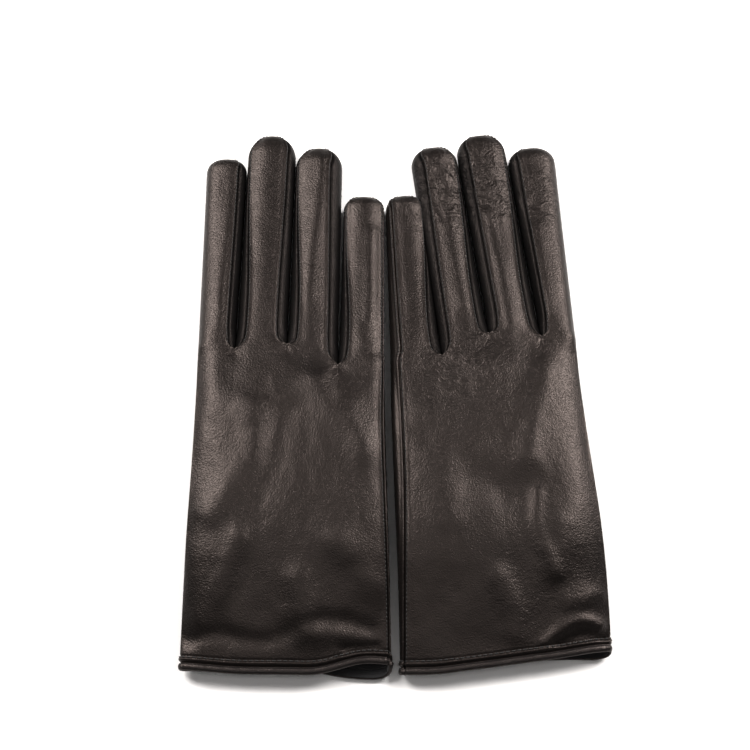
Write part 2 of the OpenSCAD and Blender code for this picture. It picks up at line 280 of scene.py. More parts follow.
def panel_rise(walked, sewn):
    """How far a panel stands proud at each place. sewn says whether its first and last edges are seams or folds."""
    length = walked[-1]
    shrink = min(1.0, 0.4 * length / SEAM_EDGE[-1])
    rise = np.zeros(len(walked))
    for is_sewn, distance in zip(sewn, (walked, length - walked)):
        if is_sewn:
            rise += np.interp(distance / shrink, SEAM_EDGE, SEAM_RISE) * shrink
    return rise


def wall_places(length):
    edge = np.array(WALL_EDGE) * min(1.0, length / 4)
    middle = np.linspace(edge[-1], length - edge[-1], WALL_MIDDLE + 2)[1:-1]
    return np.concatenate([edge, middle, length - edge[::-1]])


def wall_rise(walked):
    length = walked[-1]
    shrink = min(1.0, length / 4)
    near = np.minimum(walked, length - walked)
    return np.interp(near / shrink, WALL_EDGE, WALL_RISE) * shrink


# ---------------------------------------------------------------- one finger


class Finger:
    """Where a finger's edges, height and seams run, from its crotches (t = 0) to the shoulder of its tip (t = 1)."""

    def __init__(self, glove, index):
        own = glove["fingers"][index]
        self.name, self.half, self.roll, self.blunt = own["name"], own["half"], own["roll"], own["blunt"]
        left, right = (np.array(glove["crotches"][index + k], float) for k in range(2))
        self.tip = np.array(own["tip"], float)
        self.kinds = ["gap", "gap"]
        if index == 0:
            self.kinds[0] = glove["outer"][0]
        if index == len(glove["fingers"]) - 1:
            self.kinds[1] = glove["outer"][1]
        self.side_seam = glove["side_seam"]
        self.base = [left, right]
        middle = (left + right) / 2
        self.direction = (self.tip - middle) / np.linalg.norm(self.tip - middle)
        self.across = np.array([self.direction[1], -self.direction[0]])
        self.dome = self.half * self.blunt
        shoulder = self.tip - self.direction * self.dome
        self.shoulder = [shoulder - self.across * self.half, shoulder + self.across * self.half]
        self.length = np.linalg.norm(shoulder - middle)
        # the seam nearer the little finger is rolled on to the back, the other one tucked under the edge
        little_is_right = glove["outer"][1] == "side"
        self.rolled = [not little_is_right, little_is_right]

    def edges(self, t):
        out = []
        d = t * self.length
        opening = float(smoothstep((d - GAP_START) / 9))
        for k, side in enumerate((-1, 1)):
            start, end = self.base[k], self.shoulder[k]
            point = start + (end - start) * t
            if self.kinds[k] == "gap":
                point = point - side * self.across * GAP_HALF * opening * (1 - 0.4 * t)
            out.append(point)
        return out

    def seam_angle(self, k, t):
        if self.kinds[k] == "fold":
            return 0.0
        if self.kinds[k] == "side":
            return self.side_seam["base"] + (self.side_seam["tip"] - self.side_seam["base"]) * t
        end = self.roll if self.rolled[k] else SEAM_TUCKED
        return SEAM_BASE + (end - SEAM_BASE) * float(smoothstep((t - 0.2) / 0.8))

    def flatness(self, t):
        return 1 - math.sqrt(max(0.0, 1 - (1 - min(t * self.length / GAP_ROUND, 1)) ** 2))

    def section(self, t, half_width, shrink):
        near = float(1 - smoothstep(t * self.length / 7))
        powers = [FINGER_POWER + (CROTCH_POWER if self.kinds[k] == "gap" else EDGE_POWER) * near**2 for k in (1, 0)]
        sunk = float(smoothstep(0.15 + 0.85 * t) - smoothstep(0.15)) / (1 - float(smoothstep(0.15)))
        z = FINGER_MIDDLE[0] - FINGER_MIDDLE[1] * sunk
        up = (FINGER_UP[0] - FINGER_UP[1] * t) * shrink
        down = (FINGER_DOWN[0] - FINGER_DOWN[1] * t) * shrink
        reach = []
        for k, power in zip((1, 0), powers):
            angle = math.radians(self.seam_angle(k, t)) if self.kinds[k] == "gap" else 0.0
            reach.append(math.cos(angle) ** (2 / power))
        return Section(half_width, z, up, down, powers, self.flatness(t), reach)

    def ring(self, t, dome=0.0, bare=False):
        """The points of one ring as {part: (n, 3) array}. dome is the angle round the tip, in degrees; a bare ring
        has no seam ridges."""
        left, right = self.edges(t)
        middle = (left + right) / 2
        across = (right - left) / np.linalg.norm(right - left)
        half_width = np.linalg.norm(right - left) / 2
        shrink = 1.0
        seams = [self.seam_angle(k, t) for k in range(2)]
        if dome:
            tau = math.radians(dome)
            middle = middle + self.direction * self.dome * math.sin(tau)
            half_width *= math.cos(tau) ** (0.3 + 0.65 * self.blunt)
            shrink = math.cos(tau) ** 0.62
            seams = [s if k == "fold" else s + (TIP_SEAM - s) * (dome / 90) for s, k in zip(seams, self.kinds)]
        section = self.section(t, half_width, shrink)
        # the lower seam of a strip mirrors the upper one, less rolled; a side seam has no strip
        low = [0.0 if k == "fold" else -s if k == "side" else min(0.75 * s, 33) for s, k in zip(seams, self.kinds)]
        sewn = [k != "fold" for k in self.kinds]
        near = float(smoothstep(t * self.length / 2.5))
        fading = math.cos(math.radians(dome)) ** 0.5
        level = 1 - self.flatness(t)
        parts = {}

        def place(name, start, end, places, rise):
            points, normal, walked = section.walk(start, end, places)
            # at its two ends, both sheets of a seam move the same way
            for j, angle in ((0, start), (-1, end)):
                shared = np.array([math.cos(math.radians(angle)) * level, math.sin(math.radians(angle))])
                normal[j] = shared / max(np.linalg.norm(shared), 1e-9)
            if not bare:
                points = points + normal * (rise(walked) * fading)[:, None]
            xy = middle + points[:, :1] * across
            parts[name] = np.column_stack([xy, points[:, 1]])

        def wall(walked):
            rise = wall_rise(walked)
            rise[1:-1] *= near
            return rise

        place("back", 180 - seams[0], seams[1], panel_places, lambda w: panel_rise(w, sewn))
        place("palm", -low[1], -180 + low[0], panel_places, lambda w: panel_rise(w, sewn[::-1]))
        if self.kinds[1] == "gap":
            place("right_wall", seams[1], -low[1], wall_places, wall)
        if self.kinds[0] == "gap":
            place("left_wall", -180 + low[0], -180 - seams[0], wall_places, wall)
        return parts

    def rings(self):
        near = np.array([0, 0.35, 0.8, 1.3, 1.9, 2.7, 3.7, 5.0, 6.6, 8.5]) / self.length
        rest = np.linspace(near[-1], 1, 40)[1:]
        rings = [self.ring(t) for t in np.concatenate([near, rest])]
        rings += [self.ring(1.0, dome) for dome in (9, 18, 27, 36, 45, 54, 62, 70, 77, 83, 87.5)]
        return rings


# ---------------------------------------------------------------- one glove's leather


class Sheet:
    """Collects grids of points and their faces. Each face carries the number of the piece that it belongs to."""

    def __init__(self):
        self.points, self.faces, self.piece = [], [], []
        self.count = 0

    def grid(self, rows, piece):
        rows = np.asarray(rows, float)
        n, m = rows.shape[:2]
        base = self.count
        self.points.append(rows.reshape(-1, 3))
        self.count += n * m
        for i in range(n - 1):
            for j in range(m - 1):
                a = base + i * m + j
                self.faces.append((a, a + 1, a + m + 1, a + m))
                self.piece.append(piece)

    def cap(self, loop, piece):
        base = self.count
        self.points.append(np.asarray(loop, float))
        self.count += len(loop)
        self.faces.append(tuple(range(base, base + len(loop))))
        self.piece.append(piece)


def blurred(values, places, width):
    """Values smoothed over a distance of width along the places."""
    weight = np.exp(-(((places[:, None] - places[None, :]) / width) ** 2))
    weight *= np.gradient(places)[None, :]
    return weight @ values / weight.sum(1, keepdims=True)


def hand_rows(glove, fingers, sheet, palm):
    """One side of the hand, as rows of points from the cuff to the fingers' base rows."""
    side = "palm" if palm else "back"
    rows_of = [[f.ring(0.0, bare=bare)[side] for f in fingers] for bare in (False, True)]
    if palm:
        rows_of = [bases[::-1] for bases in rows_of]
    base, bare = (np.concatenate([bases[0]] + [b[1:] for b in bases[1:]]) for bases in rows_of)
    places = walked_along(bare)
    share = places / places[-1]
    crossing = 1 - share if palm else share
    cuff_y = along(glove["cuff_palm" if palm else "cuff_top"], crossing, 0.05)
    length = float(np.mean([y for _, y in glove["crotches"]]))
    near_base = [0, 0.3, 0.6, 0.95, 1.35, 1.9, 2.6, 3.6, 5.0, 7.0, 9.5, 12.5, 15.5, 18.5, 21.5]
    near_cuff = [9.5, 8.0, 7.0, 6.2, 5.7, 5.3, 4.9, 4.5, 4.1, 3.7, 3.3, 2.9, 2.5, 2.1, 1.6, 0.9, 0.0]
    middle = np.linspace(near_base[-1], length - near_cuff[0], 46)[1:-1]
    below = np.concatenate([near_base, middle, length - np.array(near_cuff)])
    left_x = (glove["cuff"][0], glove["crotches"][0][0])
    right_x = (glove["cuff"][1], glove["crotches"][-1][0])

    def plain(v):
        y = cuff_y + (bare[:, 1] - cuff_y) * v
        mean_y = v * length
        belly = 4 * v * (1 - v)
        left = left_x[0] + (left_x[1] - left_x[0]) * smoothstep(v) + belly * glove["bulge"][0]
        right = right_x[0] + (right_x[1] - right_x[0]) * smoothstep(v) + belly * glove["bulge"][1]
        low, high = (float(along(table, mean_y, 9)) for table in (HAND_LOW, HAND_HIGH))
        seam = glove["side_seam"]
        angle = seam["cuff"] + (seam["hand"] - seam["cuff"]) * float(smoothstep(v / 0.7))
        corners = [0.0 if k == "fold" else angle for k in glove["outer"]]
        start, end = (corners[1], -180 - corners[0]) if palm else (180 - corners[0], corners[1])
        section = Section((right - left) / 2, (low + high) / 2, (high - low) / 2, (high - low) / 2, (HAND_POWER,) * 2)
        points, normal, _ = section.walk(start, end, lambda n: share * n)
        return np.column_stack([(left + right) / 2 + points[:, 0], y, points[:, 1]]), normal

    change = bare - plain(1.0)[0]
    broad = blurred(change, places, HEIGHT_BLUR)
    # the two sides of the hand share their outer edges, where nothing is blurred
    at_end = np.exp(-np.minimum(places, places[-1] - places) / 4.0)[:, None]
    broad += (change - broad) * at_end
    edge_distance = seam_distance(places, [k != "fold" for k in glove["outer"]][:: -1 if palm else 1])
    rows = []
    for d in below[::-1]:
        points, normal = plain(1 - d / length)
        # the fingers' outlines fade out soon below the crotches, their height further down the hand
        points = points + float(1 - smoothstep(d / HEIGHT_REACH)) * broad
        points = points + float(1 - smoothstep(d / OUTLINE_REACH)) * (change - broad)
        rise = np.interp(edge_distance, SEAM_EDGE, SEAM_RISE)
        for f in fingers[:-1]:
            away = np.hypot(points[:, 0] - f.base[1][0], points[:, 1] - f.base[1][1])
            rise = np.where(away < SEAM_EDGE[-1], np.interp(away, SEAM_EDGE, SEAM_RISE), rise)
        rise = rise + np.interp(points[:, 1] - cuff_y, HEM_EDGE, HEM_RISE)
        if d > 0:
            points[:, 0] += normal[:, 0] * rise
            points[:, 2] += normal[:, 1] * rise
            rows.append(points)
        else:
            rows.append(base)
    sheet.grid(rows, 0)
    return rows


def seam_distance(places, sewn):
    """Each place's distance from those ends of the row that are sewn."""
    far = np.full(len(places), 99.0)
    return np.minimum(places if sewn[0] else far, places[-1] - places if sewn[1] else far)


def leather_mesh(name, glove):
    """The whole glove as one smooth mesh, with each face's piece as its material index."""
    fingers = [Finger(glove, i) for i in range(4)]
    sheet = Sheet()
    back = hand_rows(glove, fingers, sheet, palm=False)
    palm = hand_rows(glove, fingers, sheet, palm=True)
    pieces = ["hand"]
    for f in fingers:
        rings = f.rings()
        own = len(pieces)
        pieces.append(f.name)
        sheet.grid([r["back"] for r in rings], own)
        sheet.grid([r["palm"] for r in rings], own)
        loop = [rings[-1]["back"]]
        for wall in ("right_wall", "left_wall"):
            if wall == "left_wall":
                loop.append(rings[-1]["palm"][1:])
            if wall in rings[0]:
                sheet.grid([r[wall] for r in rings], len(pieces))
                pieces.append(f.name + "_" + wall)
                loop.append(rings[-1][wall][1:])
        ring = np.concatenate(loop)
        if np.linalg.norm(ring[0] - ring[-1]) < 1e-3:
            ring = ring[:-1]
        sheet.cap(ring[::-1], own)
    mesh = bpy.data.meshes.new(name + "_leather")
    mesh.from_pydata(np.concatenate(sheet.points).tolist(), [], sheet.faces)
    mesh.polygons.foreach_set("material_index", sheet.piece)
    for _ in pieces:
        mesh.materials.append(None)
    turned_outward(mesh, WELD)
    return mesh, pieces, fingers, back, palm


def add_object(name, data):
    thing = bpy.data.objects.new(name, data)
    bpy.context.scene.collection.objects.link(thing)
    return thing


def turned_outward(mesh, weld=None):
    """Turns the mesh's faces outwards, once points nearer than weld have been joined."""
    bm = bmesh.new()
    bm.from_mesh(mesh)
    if weld:
        bmesh.ops.remove_doubles(bm, verts=bm.verts, dist=weld)
    bmesh.ops.recalc_face_normals(bm, faces=bm.faces)
    bm.to_mesh(mesh)
    bm.free()


def smoothed(mesh):
    """The mesh after one Catmull-Clark subdivision, as numpy points, faces and face pieces."""
    thing = add_object("temporary", mesh)
    modifier = thing.modifiers.new("smooth", "SUBSURF")
    modifier.levels = 1
    modifier.uv_smooth = "NONE"
    graph = bpy.context.evaluated_depsgraph_get()
    made = bpy.data.meshes.new_from_object(thing.evaluated_get(graph))
    points = np.zeros(len(made.vertices) * 3)
    made.vertices.foreach_get("co", points)
    faces = [tuple(p.vertices) for p in made.polygons]
    piece = np.array([p.material_index for p in made.polygons])
    bpy.data.objects.remove(thing)
    bpy.data.meshes.remove(made)
    return points.reshape(-1, 3), faces, piece


def point_normals(points, faces):
    quads = np.array([f if len(f) == 4 else (f[0], f[1], f[2], f[2]) for f in faces])
    a, b = points[quads[:, 2]] - points[quads[:, 0]], points[quads[:, 3]] - points[quads[:, 1]]
    face_normal = np.cross(a, b)
    normals = np.zeros_like(points)
    for k in range(4):
        np.add.at(normals, quads[:, k], face_normal)
    return unit(normals)


# ---------------------------------------------------------------- wrinkles


def cloud(points, scale, octaves, seed):
    """Smooth noise at each point, about -1 to 1, with features of about scale millimetres."""
    offset = Vector((seed * 17.3, seed * 5.1, seed * 9.7))
    return np.array([noise.fractal(Vector(p) / scale + offset, 0.7, 2.1, octaves) for p in points.tolist()])


def distance_to_line(points, line):
    """Each point's distance in plan from a smooth curve through the line's points."""
    line = np.array(line, float)
    t = np.linspace(0, len(line) - 1, 12 * len(line))
    line = np.stack([along(list(enumerate(line[:, k])), t, 0.5) for k in range(2)], -1)
    best = np.full(len(points), 1e9)
    for a, b in zip(line[:-1], line[1:]):
        step = b - a
        share = np.clip(((points[:, :2] - a) @ step) / max(step @ step, 1e-9), 0, 1)
        best = np.minimum(best, np.linalg.norm(points[:, :2] - a - share[:, None] * step, axis=1))
    return best


def softened(values, faces, times):
    """Values averaged with their neighbours' over and over."""
    quads = np.array([f for f in faces if len(f) == 4])
    starts, ends = quads.ravel(), np.roll(quads, -1, axis=1).ravel()
    number = np.bincount(starts, minlength=len(values)) + np.bincount(ends, minlength=len(values)) + 1.0
    for _ in range(times):
        total = values.copy()
        for k in range(values.shape[1]):
            total[:, k] += np.bincount(starts, values[ends, k], len(values))
            total[:, k] += np.bincount(ends, values[starts, k], len(values))
        values = total / number[:, None]
    return values


def wrinkled(name, glove, points, faces):
    """Raises and lowers the back: slack all over, the pressed folds, crushed tips, and puckers at the crotches."""
    upward = softened(point_normals(points, faces), faces, UPWARD_ROUNDS)[:, 2]
    seed = 1 if name == "right" else 2
    hand = 1 - smoothstep((points[:, 1] - HAND_END) / HAND_FADE)
    free = smoothstep(points[:, 1] / 14)
    on_top = smoothstep(upward * 1.15)
    rise = cloud(points * [1.0, 0.6, 1.0], 24.0, 2, seed) * (0.28 + 0.5 * hand) * (0.3 + 0.7 * free)
    rise += cloud(points * [1.0, 0.8, 1.0], 9.0, 2, seed + 5) * (0.11 + 0.08 * hand)
    for height, width, line in FOLDS[name]:
        rise += FOLD_STRENGTH * height * np.exp(-((distance_to_line(points, line) / width) ** 2))
    for centre, radius in CRINKLED[name]:
        near = np.exp(-((np.linalg.norm(points[:, :2] - centre, axis=1) / radius) ** 2))
        slanting = np.stack([points[:, 0] + 0.5 * points[:, 1], 0.45 * points[:, 1], points[:, 2]], -1)
        crush = 1 - 2 * np.abs(cloud(slanting, 5.5, 2, seed + 20)) ** 0.8
        rise += near * (0.36 * crush + 0.12 * cloud(slanting, 2.4, 2, seed + 30))
    for x, y in glove["crotches"][1:-1]:
        away = np.hypot(points[:, 0] - x, points[:, 1] - y)
        bearing = np.arctan2(points[:, 0] - x, y - points[:, 1])
        below = np.clip(np.cos(bearing), 0, 1)
        pucker = np.sin(5 * bearing + x) + 0.8 * np.sin(8.3 * bearing + 2 * x)
        height, distance, width = PUCKERS
        rise += height * below * pucker * np.exp(-(((away - distance) / width) ** 2))
    return points + np.outer(rise * on_top, [0, 0, 1])


def creasing(name, points):
    """How creased the surface is at each point, from 0 to 1."""
    amount = np.zeros(len(points))
    for centre, radius, strength in CREASED[name]:
        away = np.linalg.norm(points[:, :2] - centre, axis=1)
        amount = np.maximum(amount, strength * np.exp(-((away / radius) ** 2)))
    return amount


# ---------------------------------------------------------------- making pieces


def frame_mesh(name, points, faces):
    """A mesh in the frame's metres from points in millimetres."""
    mesh = bpy.data.meshes.new(name)
    mesh.from_pydata(to_frame(points).tolist(), [], faces)
    return mesh


def finish_piece(name, mesh, material, rest, normals=None, creased=None):
    """Gives a mesh its material, the attributes that its grain and creases are drawn from, and its normals."""
    mesh.polygons.foreach_set("use_smooth", [True] * len(mesh.polygons))
    place = mesh.attributes.new("rest", "FLOAT_VECTOR", "POINT")
    place.data.foreach_set("vector", np.asarray(rest, float).ravel())
    if creased is not None:
        amount = mesh.attributes.new("creased", "FLOAT", "POINT")
        amount.data.foreach_set("value", creased)
    mesh.materials.append(material)
    mesh.update()
    if normals is not None:
        mesh.normals_split_custom_set_from_vertices(normals.tolist())
    return add_object(name, mesh)


def sheet_piece(name, leather, faces, material, thickness, depth=0.0):
    """A closed piece of sheet: the outer faces at depth under the surface, the inner ones a thickness below."""
    used = sorted({i for f in faces for i in f})
    number = {old: new for new, old in enumerate(used)}
    p, n, outward = leather.points[used], leather.normals[used], leather.outward[used]
    count = len(used)
    outside = [tuple(number[i] for i in f) for f in faces]
    inside = [tuple(i + count for i in reversed(f)) for f in outside]
    directed = {(a, b) for f in outside for a, b in zip(f, f[1:] + f[:1])}
    rim = [(b, a, a + count, b + count) for a, b in sorted(directed) if (b, a) not in directed]
    both = np.concatenate([p - outward * depth, p - outward * (depth + thickness)])
    mesh = frame_mesh(name, both, outside + inside + rim)
    creased = np.tile(leather.creased[used], 2)
    return finish_piece(name, mesh, material, np.concatenate([p, p]), np.concatenate([n, -n]), creased)


def circle(count):
    """Evenly spaced angles all the way round."""
    return np.radians(np.arange(0, 360, 360 / count))


def loft(rings, close_start=True, close_end=True):
    """Points and faces of a skin over closed rings with the same number of points."""
    count = len(rings[0])
    points = np.concatenate(rings)
    faces = []
    for i in range(len(rings) - 1):
        for j in range(count):
            a, b = i * count + j, i * count + (j + 1) % count
            faces.append((a, b, b + count, a + count))
    if close_start:
        faces.append(tuple(reversed(range(count))))
    if close_end:
        faces.append(tuple(range(len(points) - count, len(points))))
    return points, faces


def stitches_piece(name, lines, material, pitch=1.7, long=1.25, thick=0.42):
    """Short rounded threads laid along lines. Each line is its points and their outward normals."""
    spots, ways, ups = [], [], []
    for points, normals in lines:
        walked = walked_along(points)
        centres = np.arange(pitch / 2, walked[-1], pitch)
        spots.append(columns_at(centres, walked, points))
        ways.append(columns_at(centres + 0.4, walked, points) - columns_at(centres - 0.4, walked, points))
        ups.append(columns_at(centres, walked, normals))
    spots, ways, ups = (np.concatenate(v) for v in (spots, ways, ups))
    ways = unit(ways)
    sides = unit(np.cross(ways, ups))
    ups = np.cross(sides, ways)
    rings = []
    for step, size in ((-0.5, 0.35), (-0.36, 0.85), (0.0, 1.0), (0.36, 0.85), (0.5, 0.35)):
        for angle in circle(6):
            dive = -0.25 * abs(step) * thick
            rings.append((step * long, size * thick / 2 * math.cos(angle), size * thick / 2 * math.sin(angle) + dive))
    local = np.array(rings)
    points = (
        spots[:, None]
        + ways[:, None] * local[None, :, :1]
        + sides[:, None] * local[None, :, 1:2]
        + ups[:, None] * (local[None, :, 2:] + 0.3 * thick)
    )
    _, faces = loft([np.zeros((6, 3))] * 5)
    faces = [tuple(i + k * len(local) for i in f) for k in range(len(spots)) for f in faces]
    points = points.reshape(-1, 3)
    return finish_piece(name, frame_mesh(name, points, faces), material, points)


# ---------------------------------------------------------------- materials


class Surface:
    """A material being put together round one Principled shader."""

    def __init__(self, name):
        self.material = bpy.data.materials.new(name)
        self.material.use_nodes = True
        self.nodes, self.links = self.material.node_tree.nodes, self.material.node_tree.links
        self.nodes.clear()
        output = self.add("OutputMaterial")
        self.shader = self.add("BsdfPrincipled")
        self.links.new(self.shader.outputs[0], output.inputs[0])

    def add(self, kind, **values):
        node = self.nodes.new("ShaderNode" + kind)
        for socket, value in values.items():
            node.inputs[socket].default_value = value
        return node

    def attribute(self, name, output):
        node = self.add("Attribute")
        node.attribute_name = name
        return node.outputs[output]

    def texture(self, kind, **values):
        """A texture that lies over the sheet and moves with it."""
        node = self.add("Tex" + kind, **values)
        self.links.new(self.attribute("rest", "Vector"), node.inputs["Vector"])
        return node

    def math(self, operation, *values):
        """The output of a Math node. Each value is a number or another node's output."""
        node = self.add("Math")
        node.operation = operation
        for socket, value in zip(node.inputs, values):
            if isinstance(value, float):
                socket.default_value = value
            else:
                self.links.new(value, socket)
        return node.outputs[0]

    def colours(self, first, second, share):
        mix = self.add("Mix")
        mix.data_type = "RGBA"
        mix.inputs["A"].default_value = (*first, 1)
        mix.inputs["B"].default_value = (*second, 1)
        self.links.new(share, mix.inputs["Factor"])
        self.links.new(mix.outputs["Result"], self.shader.inputs["Base Color"])

    def bump(self, height, strength, distance):
        node = self.add("Bump", Strength=strength, Distance=distance)
        self.links.new(height, node.inputs["Height"])
        self.links.new(node.outputs["Normal"], self.shader.inputs["Normal"])


def leather_material(name, colour, dark, roughness, gloss=0.5):
    """Grained leather, patchy between two colours, with fine creases where the sheet is marked as creased."""
    own = Surface(name)
    grain = own.texture("Voronoi", Scale=1.3)
    grain.feature = "DISTANCE_TO_EDGE"
    pores = own.texture("Noise", Scale=1.35, Detail=3).outputs["Fac"]
    own.colours(dark, colour, own.texture("Noise", Scale=0.035, Detail=5).outputs["Fac"])
    rough = own.add("MapRange")
    for socket, value in zip(rough.inputs[1:5], (0.3, 0.7, roughness - 0.06, roughness + 0.07)):
        socket.default_value = value
    own.links.new(pores, rough.inputs["Value"])
    own.links.new(rough.outputs["Result"], own.shader.inputs["Roughness"])
    height = own.math("MULTIPLY_ADD", grain.outputs["Distance"], GRAIN_SHARE, pores)
    # the creases are the folds of a noise
    noise_height = own.texture("Noise", Scale=0.24, Detail=4, Distortion=0.8).outputs["Fac"]
    folded = own.math("ABSOLUTE", own.math("SUBTRACT", noise_height, 0.5))
    deep = own.math("MULTIPLY", own.attribute("creased", "Fac"), CREASE_DEPTH)
    own.bump(own.math("MULTIPLY_ADD", folded, deep, height), 1.0, 0.00018)
    own.shader.inputs["Specular IOR Level"].default_value = gloss
    own.shader.inputs["Specular Tint"].default_value = (1.0, 0.86, 0.8, 1)
    return own.material


def plain_material(name, colour, roughness):
    own = Surface(name)
    own.shader.inputs["Base Color"].default_value = (*colour, 1)
    own.shader.inputs["Roughness"].default_value = roughness
    return own.material


def knit_material():
    """Fine ribbed knit."""
    own = Surface("knit")
    ribs = own.texture("Wave", Scale=1.6, Distortion=1.5).outputs["Fac"]
    own.colours((0.010, 0.010, 0.011), (0.035, 0.034, 0.036), ribs)
    own.bump(ribs, 0.6, 0.0002)
    own.shader.inputs["Roughness"].default_value = 0.9
    own.shader.inputs["Sheen Weight"].default_value = 0.25
    return own.material


# ---------------------------------------------------------------- building the gloves

nappa = leather_material("black_nappa", (0.0100, 0.0078, 0.0070), (0.0042, 0.0036, 0.0035), 0.37)
# the fourchettes' nappa: a less glossy, greyer copy of the black nappa, painted shade that keeps the strips between
# the fingers dark
shaded_strip_nappa = leather_material("fourchette_nappa", (0.0075, 0.007, 0.007), (0.005, 0.0048, 0.005), 0.4, 0.22)
edge_nappa = leather_material("binding_nappa", (0.012, 0.011, 0.011), (0.008, 0.0075, 0.008), 0.36)
knit = knit_material()
thread = plain_material("thread", (0.03, 0.029, 0.029), 0.5)


class Leather:
    """One glove's finished surface. It can find where a point of the first mesh has gone to."""

    def __init__(self, name, glove):
        mesh, self.pieces, self.fingers, self.back, self.palm = leather_mesh(name, glove)
        plain, self.faces, self.piece = smoothed(mesh)
        self.points = wrinkled(name, glove, plain, self.faces)
        self.creased = creasing(name, self.points)
        self.normals = point_normals(self.points, self.faces)
        # how the sheets inside are set back: less in a tight corner, so that they don't fold through it
        self.outward = softened(self.normals, self.faces, OUTWARD_ROUNDS)
        self.tree = KDTree(len(plain))
        for i, p in enumerate(plain):
            self.tree.insert(p, i)
        self.tree.balance()

    def found(self, line):
        """Where the line's points lie on the finished surface, and the normals there."""
        picked = [self.tree.find(p)[1] for p in np.asarray(line).tolist()]
        picked = [i for k, i in enumerate(picked) if k == 0 or i != picked[k - 1]]
        return self.points[picked], self.normals[picked]

    def faces_of(self, numbers):
        return [f for f, k in zip(self.faces, self.piece) if k in numbers]


def bend(piece):
    """Bakes the piece's transform into its mesh."""
    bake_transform(piece)


def belongs(piece, slot, *nodes, body=None):
    if body:
        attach(piece, body)
    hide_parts(*nodes)


def build_hand(name, leather):
    own = leather.faces_of({0})
    shell = sheet_piece(f"{name}_hand_leather", leather, own, nappa, LEATHER)
    belongs(shell, "black_nappa_leather", f"{name}_hand_shell", body=f"{name}_hand")
    inner = sheet_piece(f"{name}_hand_knit", leather, own, knit, LINING, LINING_DEPTH)
    belongs(inner, "knitted_lining", f"{name}_hand_lining", body=f"{name}_hand")


def build_finger(name, leather, finger):
    number = {part: k for k, part in enumerate(leather.pieces)}
    own = [k for part, k in number.items() if part.split("_")[0] == finger.name]
    stem = f"{name}_{finger.name}"
    shell = sheet_piece(f"{stem}_leather", leather, leather.faces_of({number[finger.name]}), nappa, LEATHER)
    belongs(shell, "black_nappa_leather", f"{stem}_shell")
    inner = sheet_piece(f"{stem}_knit", leather, leather.faces_of(set(own)), knit, LINING, LINING_DEPTH)
    belongs(inner, "knitted_lining", f"{stem}_lining")
    made = [shell, inner]
    place = leather.fingers.index(finger)
    for side, step in (("right_wall", 1), ("left_wall", -1)):
        part = f"{finger.name}_{side}"
        if part in number:
            neighbour = leather.fingers[place + step].name
            strip = sheet_piece(
                f"{stem}_fourchette_{side}", leather, leather.faces_of({number[part]}), shaded_strip_nappa, LEATHER
            )
            belongs(strip, "fourchette_leather", f"{stem}_fourchette_by_{neighbour}")
            made.append(strip)
    rings = finger.rings()[4:]
    lines = []
    for panel in ("back", "palm"):
        for column, kind in ((STITCH_COLUMN, 0), (-1 - STITCH_COLUMN, 1)):
            if finger.kinds[kind if panel == "back" else 1 - kind] != "fold":
                lines.append(leather.found([r[panel][column] for r in rings]))
    sewing = stitches_piece(f"{stem}_threads", lines, thread)
    belongs(sewing, "black_thread", f"{stem}_stitching")
    made.append(sewing)
    for piece in made:
        bend(piece)


def rim_loop(leather):
    """The cuff's edge as a closed loop of evenly spaced points with its normals."""
    loop = np.concatenate([leather.back[0], leather.palm[0][1:-1]])
    points, normals = leather.found(loop)
    points, normals = (np.concatenate([v, v[:1]]) for v in (points, normals))
    walked = walked_along(points)
    even = np.linspace(0, walked[-1], RIM_POINTS, endpoint=False)
    points, normals = (columns_at(even, walked, v) for v in (points, normals))
    for _ in range(3):
        normals = unit(normals + np.roll(normals, 1, 0) + np.roll(normals, -1, 0))
    return points, normals


def build_cuff(name, leather):
    """The bound edge, a rounded strip folded over the rim, with the stitches of the hem and of the side seam."""
    points, normals = rim_loop(leather)
    way = unit(np.roll(points, -1, 0) - np.roll(points, 1, 0))
    along_sheet = np.cross(way, normals)
    along_sheet *= np.sign(along_sheet[:, 1:2])
    rings = []
    for angle in circle(15):
        c, s = math.cos(angle), math.sin(angle)
        outward = math.copysign(abs(s) ** 0.8, s) * BINDING["outer" if s > 0 else "inner"]
        ahead = BINDING["ahead"] + BINDING["reach"] * c
        rings.append(points + along_sheet * ahead + normals * (outward - BINDING["sunk"]))
    count = len(points)
    skin, faces = loft(rings, False, False)
    # the loop closes on itself the other way round: ring k + 1 follows ring k, and the last is joined to the first
    last = (len(rings) - 1) * count
    faces += [(last + j, last + (j + 1) % count, (j + 1) % count, j) for j in range(count)]
    mesh = frame_mesh(f"{name}_binding", skin, faces)
    turned_outward(mesh)
    binding = finish_piece(f"{name}_cuff_edge", mesh, edge_nappa, skin)
    belongs(binding, "edge_binding_leather", f"{name}_cuff_binding", body=f"{name}_hand")
    rows = []
    for side in (leather.back, leather.palm):
        sheet = np.array(side)
        reach = sheet[:, :, 1] - sheet[0, :, 1]
        row = np.argmin(abs(reach - HEM_STITCHES), axis=0)
        rows.append(leather.found(sheet[row, np.arange(len(row))]))
    hem = stitches_piece(f"{name}_hem_threads", rows, thread, **HEM_THREAD)
    belongs(hem, "black_thread", f"{name}_hem_stitching", body=f"{name}_hand")
    column = -1 - STITCH_COLUMN if name == "right" else STITCH_COLUMN
    seam = stitches_piece(f"{name}_side_threads", [leather.found([r[column] for r in leather.back[12:]])], thread)
    belongs(seam, "black_thread", f"{name}_side_seam_stitching", body=f"{name}_hand")


